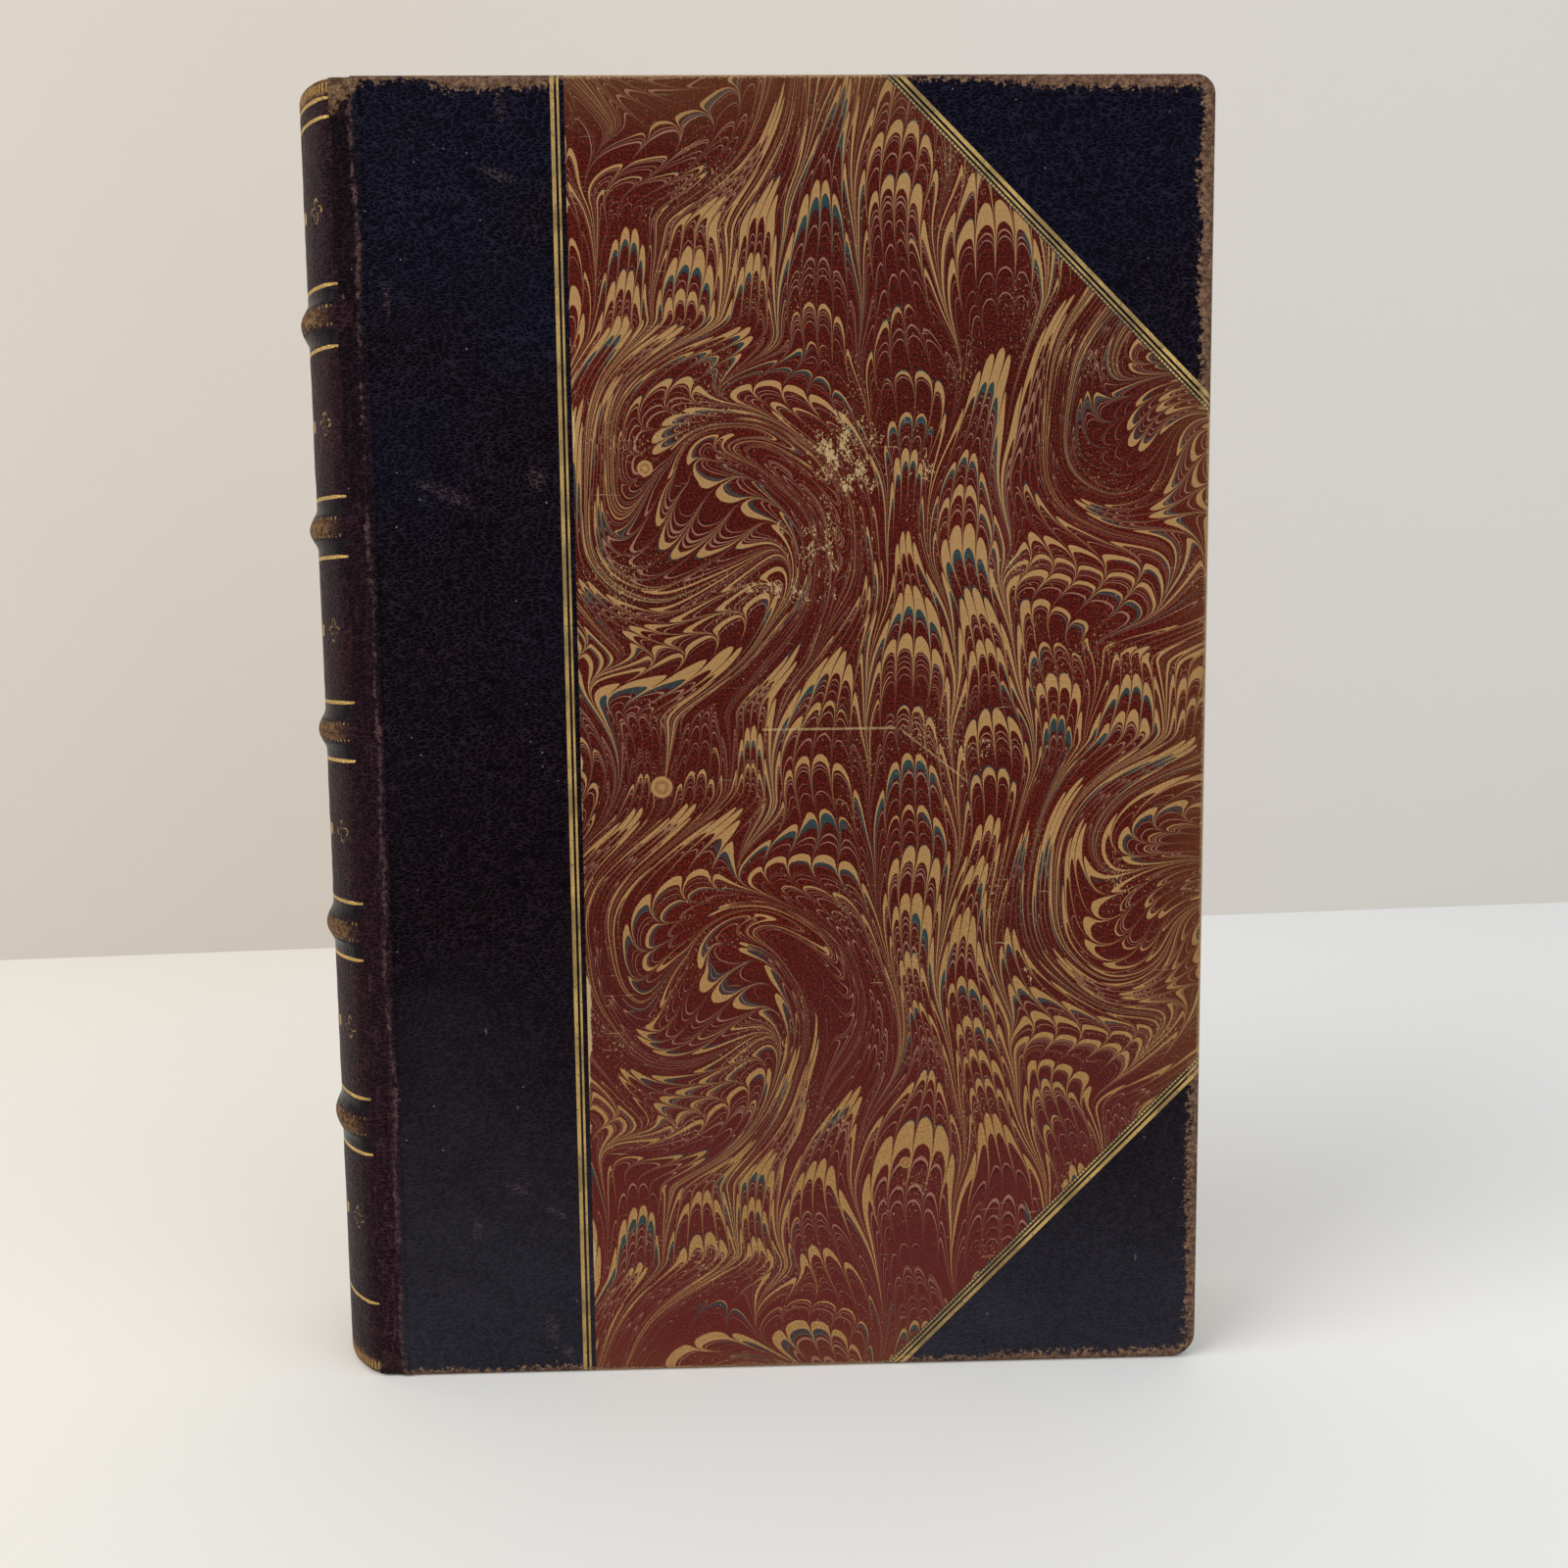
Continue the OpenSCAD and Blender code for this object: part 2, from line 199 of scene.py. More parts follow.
# %% The material bench
class Bench:
    def __init__(self, name):
        self.material = bpy.data.materials.new(name)
        self.material.use_nodes = True
        self.tree = self.material.node_tree
        self.shader = self.tree.nodes["Principled BSDF"]
        self.coords = self.tree.nodes.new("ShaderNodeTexCoord")
        self.x, self.y, self.z = self.split(self.coords.outputs["Object"])

    def split(self, socket):
        """The three parts of a place, in millimetres."""
        node = self.tree.nodes.new("ShaderNodeSeparateXYZ")
        self.tree.links.new(socket, node.inputs[0])
        return [Flow(self.tree, out) * (1 / MM) for out in node.outputs]

    def leather_uv(self):
        """Distance round the spine from its middle, and height, both in millimetres."""
        return self.split(self.coords.outputs["UV"])[:2]

    def join(self, *parts):
        node = self.tree.nodes.new("ShaderNodeCombineXYZ")
        for socket, part in zip(node.inputs, parts):
            if isinstance(part, Flow):
                self.tree.links.new(part.value, socket)
            else:
                socket.default_value = part
        return node.outputs[0]

    def noise(self, *parts, detail=0.0, rough=0.5):
        node = self.tree.nodes.new("ShaderNodeTexNoise")
        node.inputs["Scale"].default_value = 1
        node.inputs["Detail"].default_value = detail
        node.inputs["Roughness"].default_value = rough
        self.tree.links.new(self.join(*parts), node.inputs["Vector"])
        return Flow(self.tree, node.outputs[0])

    def cells(self, *parts, feature="F1"):
        """Distance to the middle of the nearest cell, or with DISTANCE_TO_EDGE to its edge."""
        node = self.tree.nodes.new("ShaderNodeTexVoronoi")
        node.feature = feature
        node.inputs["Scale"].default_value = 1
        self.tree.links.new(self.join(*parts), node.inputs["Vector"])
        return Flow(self.tree, node.outputs["Distance"])

    def mix(self, mask, below, above):
        node = self.tree.nodes.new("ShaderNodeMix")
        node.data_type = "RGBA"
        self.tree.links.new(mask.value, node.inputs[0])
        # A Mix node has sockets for every kind of data. Colours use numbers 6 and 7.
        for number, colour in {6: below, 7: above}.items():
            if isinstance(colour, bpy.types.NodeSocket):
                self.tree.links.new(colour, node.inputs[number])
            else:
                node.inputs[number].default_value = (*colour, 1)
        return node.outputs[2]

    def finish(self, colour, roughness, height=None, relief=0.1, metal=None, specular=0.5):
        """Plug everything in. relief is the height of the bump from 0 to 1, in millimetres."""
        self.tree.links.new(colour, self.shader.inputs["Base Color"])
        if isinstance(roughness, Flow):
            self.tree.links.new(roughness.value, self.shader.inputs["Roughness"])
        else:
            self.shader.inputs["Roughness"].default_value = roughness
        if metal is not None:
            self.tree.links.new(metal.value, self.shader.inputs["Metallic"])
        self.shader.inputs["Specular IOR Level"].default_value = specular
        if height is not None:
            bump = self.tree.nodes.new("ShaderNodeBump")
            bump.inputs["Strength"].default_value = 1
            bump.inputs["Distance"].default_value = relief * MM
            self.tree.links.new(height.value, bump.inputs["Height"])
            self.tree.links.new(bump.outputs[0], self.shader.inputs["Normal"])
        print("finish:", self.material.name, "with", len(self.tree.nodes), "nodes")
        return self.material


# %% [markdown]
# ## Goatskin grain
# The leather is pebbled goatskin. Its pebbles are about 1.3 mm long and 0.5 mm tall, in rows that
# slant a little. The distance to the edge of a cell rises from the creases to the round tops, and
# noise bends the cells so that no row is straight. The creases get a painted highlight: a lighter
# colour stands in for light catching them. The same grain runs over the covers, the joints and
# the spine.

# %% The grain of the leather
# Pebbles in a millimetre, across the skin and along it
PEBBLES_ACROSS, PEBBLES_ALONG = 0.74, 2.0


def goat_grain(bench, across, along, depth):
    """Height of the pebbles and a mask of the creases between them, for painted highlights."""
    drift = bench.noise(across * 0.07, along * 0.07, depth * 0.09)
    bend = bench.noise(across * 0.40, along * 0.40, depth * 0.45)
    slant = along + across * 0.13 + drift * 7 + bend * 0.8
    swayed = across + bend * 1.1
    place = (swayed * PEBBLES_ACROSS, slant * PEBBLES_ALONG, depth * 0.8)
    rim = bench.cells(*place, feature="DISTANCE_TO_EDGE")
    fine = bench.noise(across * 4, along * 5, depth * 4)
    height = rim.step(0.0, 0.40) * 0.75 + fine * 0.25
    gaps = bench.noise(across * 0.3, along * 0.5, depth * 0.3).step(0.10, 0.42)
    return height, (1 - rim.step(0.01, 0.12)) * gaps


# %% [markdown]
# ## The covers' leather
# It was dyed navy and is almost black now, bluer at the head and greyer at the tail, with a
# purple-brown cast. Where hands and shelves rub, along the head, the tail and the fore-edge, the
# dye is gone and brown suede shows. That mask is the distance to the nearest edge, frayed by noise.
# The joints' leather is the same with one more colour towards the spine, so one function makes
# both. Colours are amounts of red, green and blue light, from 0 to 1.

# %% Colours of the covers' leather
DARK_NAVY = (0.0018, 0.0014, 0.0056)
DARK_PURPLE = (0.0024, 0.0004, 0.0016)
GREY_NAVY = (0.0262, 0.0248, 0.0345)
# Painted highlights for the creases, cool towards the head and warm towards the tail
CREASE_HIGHLIGHT_COOL = (0.0225, 0.0198, 0.0390)
CREASE_HIGHLIGHT_WARM = (0.0340, 0.0208, 0.0295)
SMUDGED = (0.050, 0.026, 0.034)
RUBBED_BROWN = (0.110, 0.056, 0.036)
RUBBED_TAN = (0.255, 0.150, 0.088)
JOINT_DARK = (0.0045, 0.0017, 0.0036)
JOINT_RUBBED = (0.0160, 0.0045, 0.0085)
# Painted highlight for the joints' creases, and partly painted glint on their scratches
JOINT_GLINT_AND_SCRATCH = (0.060, 0.031, 0.037)
RIDGE_DARK = (0.030, 0.013, 0.016)
RIDGE_PALE = (0.105, 0.056, 0.055)
SHELF_RUBBED = (0.080, 0.050, 0.056)
CAP_PALE = (0.26, 0.16, 0.075)
NICK = (0.16, 0.12, 0.13)
DUST = (0.30, 0.27, 0.25)
# Places on the front where a shelf has rubbed the grain, as (x, z, width, height)
RUBS = (
    (-55, 167, 9, 2.2),
    (-38.6, 169.5, 2.4, 4),
    (-44, 222.7, 6, 1.6),
    (-64.4, 201.5, 1.2, 6),
    (-43.2, 234, 1.6, 4),
    (-45.8, 37, 5, 1.2),
    (-53.8, 29.6, 1.5, 4),
    (-38.5, 32, 4, 1.2),
    (-40, 9, 2.5, 4),
    (-37, 4, 2, 3),
)
RUB_SLANT = 0.4
# Where the cover's leather ends beside the joint, in millimetres
LEATHER_END = -69.0


# %% Navy leather for the covers
def cover_leather(name, joint=False):
    bench = Bench(name)
    x, y, z = bench.x, bench.y, bench.z
    side, front = y.size(), 1 - y.step(-1, 1)
    grain, creases = goat_grain(bench, x, z, y)
    cloud = bench.noise(x * 0.035, y * 0.02, z * 0.035, detail=3.0)
    low = 1 - (z / TALL).clamp()
    colour = bench.mix((cloud * 0.7 + low * 0.5).step(0.38, 0.58), DARK_NAVY, DARK_PURPLE)
    colour = bench.mix((low * 2.5 + cloud * 0.7 - 2.02).clamp(), colour, GREY_NAVY)
    # Painted highlight along the creases: a lighter colour in place of light on them
    crease_highlight = bench.mix((low * 1.5 + cloud - 0.6).clamp(), CREASE_HIGHLIGHT_COOL, CREASE_HIGHLIGHT_WARM)
    colour = bench.mix(creases * (0.52 - low * 0.22), colour, crease_highlight)
    fray = bench.noise(x * 0.9, y * 0.9, z * 0.9, detail=3.5, rough=0.75)
    if joint:
        toward_spine = 1 - (x + (cloud - 0.5) * 6 - low).step(-70.0, -67.6)
        tone = bench.mix((low + fray - 0.6).clamp(), JOINT_DARK, JOINT_RUBBED)
        # Painted highlight on the creases, and lighter scratches in streaks that are partly painted
        # glint
        streak = bench.noise(x * 0.9, z * 0.16, 2.0, detail=3.0, rough=0.7).step(0.52, 0.66)
        glints_and_scratches = (creases * 0.5 + streak * fray) * (low * 0.75 + 0.2)
        colour = bench.mix(toward_spine, colour, bench.mix(glints_and_scratches, tone, JOINT_GLINT_AND_SCRATCH))
    # Smudges where the grain's tops are rubbed
    smudge = bench.noise(x * 0.06, z * 0.13, y * 0.05, detail=4.0, rough=0.7)
    smudge = smudge.step(0.62, 0.76) * grain.step(0.35, 0.75)
    colour = bench.mix(smudge * 0.3, colour, SMUDGED)
    # The rubbed edges, worst on the head beside the joint and on the corners
    patch = bench.noise(x * 0.055, y * 0.04, z * 0.055, detail=2.0)
    from_ends = z.least(TALL - z)
    from_edge = (FORE - x).least(from_ends)
    on_head = x.band(-55, -34, 3.0) * z.step(228, 236)
    on_corner = x.step(30, 70) * (1 - low * 0.35)
    reach = fray * 5.4 + patch * 2.6 - 2.75 + on_head * 1.3 + on_corner * 1.35
    worn = (reach - from_edge * 0.85).step(0.0, 0.6) * side.step(16.3, 17.3)
    rounding = (1 - side.step(FACE - 2.0, FACE - 0.05)) * side.step(16.5, 17.2)
    worn = worn.most(rounding * fray.step(0.36, 0.52) * 0.95)
    worn = worn * (x - LEATHER_END).step(0.0, 0.9)
    tan = bench.mix(fray.step(0.4, 0.66), RUBBED_BROWN, RUBBED_TAN)
    colour = bench.mix(worn * 0.92, colour, tan)
    # The joint's ridge, rubbed in broken lines where the cover bends
    wander = bench.noise(z * 0.045, 7.0, y * 0.05) - 0.5
    from_ridge = (x - LEATHER_END + 0.6 + wander * 2.4 - low * 0.9).size()
    broken = bench.noise(x * 0.3, z * 0.14, y * 0.1, detail=4.0, rough=0.7)
    ridge = (fray * 1.6 + broken * 2.1 - from_ridge * 0.55).step(1.55, 2.05)
    ridge_tone = bench.mix(fray.step(0.4, 0.6), RIDGE_DARK, RIDGE_PALE)
    colour = bench.mix(ridge * side.step(17.6, 18.3) * 0.8, colour, ridge_tone)
    for at_x, at_z, wide, tall in RUBS:
        near = spot(x - at_x, z - at_z + (x - at_x) * RUB_SLANT, wide, tall)
        near = near * side.step(18.0, 18.6)
        near = (near * 0.5 + fray * 0.9).step(0.68, 0.92) * front
        colour = bench.mix(near * (creases * 0.45 + 0.07), colour, SHELF_RUBBED)
    # The cap's wear runs on over the top of the joint
    beyond = (x - LEATHER_END + 0.5).least(0.0) * 0.6 + (x - LEATHER_END).most(0.0) * 1.6
    cap = (fray * 5 + 0.9 - from_ends * 0.8 - beyond).step(0.0, 1.2) * side.step(17.0, 18.0)
    cap_tone = bench.mix(fray.step(0.4, 0.62), RUBBED_BROWN, CAP_PALE)
    colour = bench.mix(cap * (0.8 - low * 0.75), colour, cap_tone)
    # Short nicks, mostly upright
    nick = bench.cells(x * 0.16 + fray * 0.12, z * 0.055, y * 0.1)
    nick = (1 - nick.step(0.022, 0.05)) * fray.step(0.42, 0.56)
    colour = bench.mix(nick * 0.6, colour, NICK)
    # White specks of dust
    speck = bench.cells(x * 0.33, z * 0.33, y * 0.33)
    some = bench.noise(x * 0.2, z * 0.2, y * 0.2).step(0.52, 0.6)
    colour = bench.mix((1 - speck.step(0.03, 0.075)) * some * 0.5, colour, DUST)
    rough = 0.40 + worn * 0.4 + smudge * 0.2
    return bench.finish(colour, rough, grain, relief=0.40, specular=0.031)


navy_goatskin = cover_leather("navy_goatskin")

# %% [markdown]
# ## Gold leaf
# The rules are gold leaf pressed into the leather with a hot wheel. The leaf is thin, and tiny
# breaks show the leather. A wheel with teeth left a row of dots beside the corners' paper.


# %% Gold for the rules on the covers
GOLD = (0.55, 0.355, 0.115)
GOLD_DULL = (0.27, 0.175, 0.060)
UNDER_THE_GOLD = (0.03, 0.02, 0.016)
HALF_ROOT = math.sqrt(0.5)
# Length of a tail corner's leg, how much shorter the head's is, and the pitch of the dots
CORNER_LEG, HEAD_LESS, DOT_PITCH = 60.8, 0.6, 0.75


def gold_leaf():
    bench = Bench("gold_leaf")
    x, y, z = bench.x, bench.y, bench.z
    worn = bench.noise(x * 1.1, y * 1.1, z * 1.1, detail=5.0, rough=0.8).step(0.53, 0.66)
    tone = bench.noise(x * 0.12, y * 0.1, z * 0.12, detail=3.0)
    gold = bench.mix(tone.step(0.35, 0.65), GOLD_DULL, GOLD)
    # The dots run along the corner's slanting edge, at the head and mirrored at the tail
    head = z.step(TALL / 2 - 1, TALL / 2 + 1)
    down = z + head * (TALL - z * 2)
    inward = (x - FORE + (CORNER_LEG - head * HEAD_LESS) - down) * HALF_ROOT
    dotted = 1 - ((x + down) * HALF_ROOT).wave(DOT_PITCH).step(-0.2, 0.3)
    dotted = dotted * (1 - inward.step(0.62, 0.66)) * x.step(0, 2)
    worn = worn.most(dotted * 0.9)
    colour = bench.mix(worn * 0.9, gold, UNDER_THE_GOLD)
    dent = bench.noise(x * 2.2, y * 2.2, z * 2.2, detail=2.0)
    return bench.finish(colour, 0.34 + worn * 0.3, dent, relief=0.10, metal=(1 - worn) * 0.85)


gold = gold_leaf()

# %% [markdown]
# ## Marbled paper
# A marbler floats drops of colour on a bath and combs them before laying the paper down. Reading
# the steps backwards gives, for any point of the paper, the place in the bath it came from:
# 1. the last, slow curls turn it about a few centres,
# 2. the bouquet comb's swaying teeth squeeze and spread its neighbours,
# 3. the wide and the fine comb drag it down, most at a tooth and least between two,
# 4. what is left are rows of ochre, slate and thin veins across an oxblood ground.
#
# A few drops that fell after the combing are round. Both covers are cut from one sheet, the back
# one from another part of it.

# %% Colours of the paper
OXBLOOD = (0.138, 0.0095, 0.0040)
OXBLOOD_DEEP = (0.020, 0.0022, 0.0012)
OXBLOOD_PALER = (0.142, 0.028, 0.025)
OCHRE = (0.250, 0.135, 0.040)
OCHRE_PALE = (0.405, 0.222, 0.088)
OCHRE_BEIGE = (0.340, 0.197, 0.082)
OCHRE_LINE = (0.23, 0.12, 0.04)
VEIN = (0.280, 0.132, 0.086)
SLATE = (0.015, 0.043, 0.046)

# %% Curls and combs
CURL_PITCH, FAN_CENTRE = 89.0, 29.0
# Curls as (x, z, reach, turn), in the order in which they are undone
CURLS = ((-10, 163, 38, -2.5), (77, 172, 38, -2.5), (2, 147, 15, 2.0))
WIDE_PITCH, FINE_PITCH = 13.4, 2.233
ROW_HEIGHT = 9.0
VEIN_GAPS = (0.07, 0.14, 0.24, 0.38, 0.55)
BACK_SHIFT = 57
# Round drops as (x, z, radius)
DROPS = ((-19.0, 171.3, 1.5), (-17.1, 113.2, 2.1), (27.9, 40.5, 1.2))


def curl(x, z, centre_x, centre_z, reach, turn):
    """Turn the bath about a centre, most in the middle and not at all beyond reach."""
    away_x = x - centre_x
    away_z = (z - (centre_z - CURL_PITCH / 2)).math("FLOORED_MODULO", CURL_PITCH) - CURL_PITCH / 2
    near = (1 - (away_x * away_x + away_z * away_z) / reach**2).clamp()
    angle = near * near * turn
    cosine, sine = angle.math("COSINE"), angle.math("SINE")
    turned_x = away_x * cosine - away_z * sine
    turned_z = away_x * sine + away_z * cosine
    return turned_x + centre_x, z + turned_z - away_z, near


def sway(across, along, half_width, amount, pitch, start):
    """Sideways shift of the bouquet comb's teeth, which part and meet as they travel."""
    squeeze, travel = (across - FAN_CENTRE).wave(half_width * 2), (along - start).wave(pitch)
    return across + squeeze * travel * amount


def comb(across, pitch, first, drag, width):
    """How far a comb of this pitch has dragged a point along."""
    tooth = (across - first).to_nearest(pitch)
    return (tooth * (-1 / width)).math("EXPONENT") * drag


# %% Marbled paper's material
def marbled():
    bench = Bench("marbled_sides")
    x, y, z = bench.x, bench.y, bench.z
    sheet = z + y.step(-1, 1) * BACK_SHIFT
    tremble_x = bench.noise(x / 38, sheet / 38) - 0.5
    tremble_z = bench.noise(x / 45 + 31, sheet / 45) - 0.5
    shiver = bench.noise(x / 12, sheet / 15 + 9) - 0.5
    across, along = x + tremble_x * 11 + shiver * 2.2, sheet + tremble_z * 11 + shiver * 1.5
    curled = []
    for centre_x, centre_z, reach, turn in CURLS:
        across, along, near = curl(across, along, centre_x, centre_z, reach, turn)
        curled.append(near)
    across = sway(across, along, 43, 4.6, CURL_PITCH, 50)
    across = sway(across, along, WIDE_PITCH, 1.3, 46, 12)
    dragged = along + comb(across, WIDE_PITCH, FAN_CENTRE + WIDE_PITCH / 2, 21, 1.9)
    dragged = dragged + comb(across, FINE_PITCH, FAN_CENTRE, 2.4, 0.42)
    dragged = dragged + comb(across, FINE_PITCH, FAN_CENTRE, 6.5, 0.08)
    rows = dragged / ROW_HEIGHT + (bench.noise(across / 40, dragged / 34) - 0.5) * 3.0
    row = rows.math("FLOOR")
    place = rows - row
    amount = bench.noise(across / 34 + row * 5.7, row * 3.3 + 0.5)
    tint = bench.noise(across / 18 + row * 2.9 + 9, row * 7.7 + 0.25)
    # Inside the curls the bath was nearly bare
    calm = 1 - sum(curled).clamp() * 0.5
    thick = ((amount - 0.394) * 2.2).most(0.0).least(0.42) * calm
    foot = 0.96 - thick
    # The ground, mottled as the bath's size leaves it
    mottle = bench.noise(x * 2.4, z * 2.4, y, detail=2.0, rough=0.9)
    cloud = bench.noise(x * 0.02, z * 0.02, y * 0.02, detail=1.0)
    colour = bench.mix((mottle * 2.4 + cloud * 0.3 - 0.86).step(0.30, 0.84), OXBLOOD_DEEP, OXBLOOD)
    # The ground turns paler and pinker towards the bottom
    paler_below = (1 - (z + (cloud - 0.5) * 60).step(-10, 110)) * 0.5
    colour = bench.mix(paler_below, colour, OXBLOOD_PALER)
    # Thin veins under each row of ochre, each with a dark line below it
    for number, gap in enumerate(VEIN_GAPS):
        line = (place - foot + gap).size()
        shown = bench.noise(across / 20 + number * 13, row * 1.9 + number * 1.1)
        width = (shown - 0.50).most(0.0) * 0.08
        line = 1 - (line - width).step(0.001, 0.009)
        colour = bench.mix(line * shown.step(0.45, 0.54) * 0.85, colour, VEIN)
        shade = 1 - (place - foot + gap + 0.035).size().step(0.004, 0.020)
        colour = bench.mix(shade * shown.step(0.40, 0.52) * 0.6, colour, OXBLOOD_DEEP)
    # Slate edges above and patches below the ochre
    has_ochre = thick.step(0.0, 0.03)
    above = place.band(0.955, 0.99, 0.006) * tint.step(0.55, 0.59)
    below = (place - foot).band(-0.16, 0.01, 0.03) * (1 - tint.step(0.43, 0.47))
    colour = bench.mix((above + below).clamp() * has_ochre * calm * 0.9, colour, SLATE)
    # The ochre itself, paler where it lay thick, with a faint line along its middle
    ochre = bench.mix((mottle * 2.0 + cloud * 0.4 - 0.72).step(0.25, 0.80), OCHRE, OCHRE_PALE)
    ochre = bench.mix((z + cloud * 60 - 30).step(20, 190) * 0.55, ochre, OCHRE_BEIGE)
    middle = 1 - (place - foot - thick * 0.45).size().step(0.01, 0.03)
    ochre = bench.mix(middle * 0.22, ochre, OCHRE_LINE)
    lobes = (place - foot).step(-0.008, 0.008) * (1 - place.step(0.952, 0.968)) * has_ochre
    colour = bench.mix(lobes, colour, ochre)
    for at_x, at_z, size in DROPS:
        ray = radius(x - at_x, sheet - at_z) + (mottle - 0.5) * 0.4
        colour = bench.mix(1 - ray.step(size - 0.2, size), colour, ochre)
        ring = ray.band(size * 0.30, size * 0.66, 0.2) * mottle.step(0.40, 0.56)
        colour = bench.mix(ring * 0.7, colour, OXBLOOD)
    return bench, colour, mottle, cloud


# %% [markdown]
# ## Wear on the paper
# The front has been rubbed: a cluster of scuffs in the upper middle and one long scratch that turns
# down. Both sides have fine hairs and strewn flecks, a brown toning towards the edges, and the pale
# core of the paper along the fore-edge. Beside the leather the paper's cut edge has lifted in a few
# places, and shows its core too.

# %% Scuffs, the scratch and their colours
BARE_PAPER = (0.47, 0.335, 0.160)
TONED_BROWN = (0.150, 0.070, 0.026)
EDGE_CORE = (0.36, 0.225, 0.105)
# Scuffed places as (x, z, width, height, strength)
SCUFFS = (
    (17, 173, 12, 14, 0.13),
    (12, 156, 13, 17, 0.11),
    (32, 171, 9, 5, 0.11),
    (3, 150, 9, 4, 0.12),
    (0, 62, 14, 7, 0.08),
    (46, 152, 14, 6, 0.08),
    (41, 118, 14, 9, 0.09),
    (52, 78, 6, 6, 0.08),
)
SCRATCH_Z, SCRATCH_BEND, SCRATCH_FALL = 123.6, 27, 0.80


# %% Wear and the paper's shader
def marbled_sides():
    bench, colour, mottle, cloud = marbled()
    x, y, z = bench.x, bench.y, bench.z
    front = 1 - y.step(-1, 1)
    crumbs = bench.noise(x * 2.6, z * 1.5, y, detail=3.0, rough=0.8)
    flakes = bench.noise(x * 0.55, z * 0.32, y * 0.3, detail=4.0, rough=0.75)
    scuffs = None
    for at_x, at_z, wide, tall, strength in SCUFFS:
        near = spot(x - at_x, z - at_z, wide, tall) * (strength * 1.35) * front
        scuffs = near if scuffs is None else scuffs.most(near)
    rubbed = (flakes * 0.55 + crumbs * 0.45 + scuffs).step(0.685, 0.71)
    hairs = bench.noise(x * 0.10, z * 2.6 + flakes * 2, 2.0, detail=2.0).step(0.70, 0.74)
    hairs = hairs * bench.noise(x * 0.05, z * 0.05, 8.0, detail=1.0).step(0.50, 0.62)
    strewn = bench.noise(x * 0.07, z * 0.07, 5.0, detail=2.0) * 0.34
    flecks = (crumbs * 0.86 + strewn).step(0.725, 0.765)
    rubbed = rubbed.most(hairs * 0.6).most(flecks * 0.8)
    # The scratch, level at first and then turning down
    level = (z - SCRATCH_Z + (mottle - 0.5) * 0.5).size() + (x - 14).size().step(12, 13.5)
    turn = (z - SCRATCH_Z + (x - SCRATCH_BEND) * SCRATCH_FALL + (mottle - 0.5)).size()
    turn = turn + (1 - x.step(26, 27.5)) + x.step(39, 42)
    scratch = (1 - level.least(turn).step(0.10, 0.32)) * crumbs.step(0.36, 0.50)
    rubbed = rubbed.most(scratch * front * 0.6)
    colour = bench.mix(rubbed * 0.85, colour, BARE_PAPER)
    # Brown toning towards the board's edges, and the bare core along them
    from_edge = (FORE - x).least(z.least(TALL - z))
    toned = (1 - (from_edge + (cloud - 0.5) * 22).step(-2, 14)) * 0.28
    colour = bench.mix(toned, colour, TONED_BROWN)
    edge = (1 - (from_edge + (crumbs - 0.5) * 2.4).step(0.35, 1.0)) * (mottle * 0.9 + 0.35)
    colour = bench.mix(edge, colour, EDGE_CORE)
    # The lifted edge beside the leather
    tongue = (bench.noise(z * 0.06, 3.0, y * 0.02, detail=3.0) - 0.57) * 9
    lifted = (tongue + (crumbs - 0.5) * 0.9 - (x - STRIP_X / MM + 2.1)).step(0.0, 0.2)
    colour = bench.mix(lifted * 0.8, colour, BARE_PAPER)
    rough = 0.50 + rubbed * 0.3 + mottle * 0.10
    return bench.finish(colour, rough, mottle, relief=0.05, specular=0.06)


marbled_paper = marbled_sides()

# %% [markdown]
# ## Pages, endpapers and what they hide
# The trimmed edges show hundreds of leaves. Along the thickness of the book the noise is very fine,
# and along the leaves it is very long, so it reads as a stack of sheets, grouped in sections. The
# endpapers are browned along a border, where the leather folded in beneath them has stained them.

# %% Page edges
PAGE_SHADE, PAGE_CREAM = (0.43, 0.335, 0.20), (0.66, 0.56, 0.40)
# The gaps between sections are darkened as painted shade
SECTION_GAP_SHADE, PAGE_STAIN = (0.30, 0.22, 0.12), (0.36, 0.25, 0.13)
SECTION_PITCH = 1.9


def page_edges():
    bench = Bench("page_edges")
    x, y, z = bench.x, bench.y, bench.z
    bent = y + bench.noise(x * 0.02, z * 0.012, y * 0.05) * 1.2
    leaf = bench.noise(x * 0.05, z * 0.03, bent * 7, detail=2.0)
    sections = bent.wave(SECTION_PITCH).step(0.86, 1.0)
    stain = bench.noise(x * 0.04, z * 0.03, y * 0.1, detail=4.0)
    colour = bench.mix(leaf.step(0.30, 0.68), PAGE_SHADE, PAGE_CREAM)
    # Painted shade in the gaps between the sections
    colour = bench.mix(sections * 0.35, colour, SECTION_GAP_SHADE)
    colour = bench.mix(stain.step(0.52, 0.78) * 0.5, colour, PAGE_STAIN)
    return bench.finish(colour, 0.85, leaf - sections * 0.6, relief=0.12, specular=0.2)


# %% Plain papers, boards and linings
FOXED, BROWNED = (0.42, 0.27, 0.13), (0.36, 0.24, 0.12)
# Leg of a corner's folded leather, and where the side strip's ends, in millimetres
CORNER_BORDER, STRIP_BORDER = 52, -62


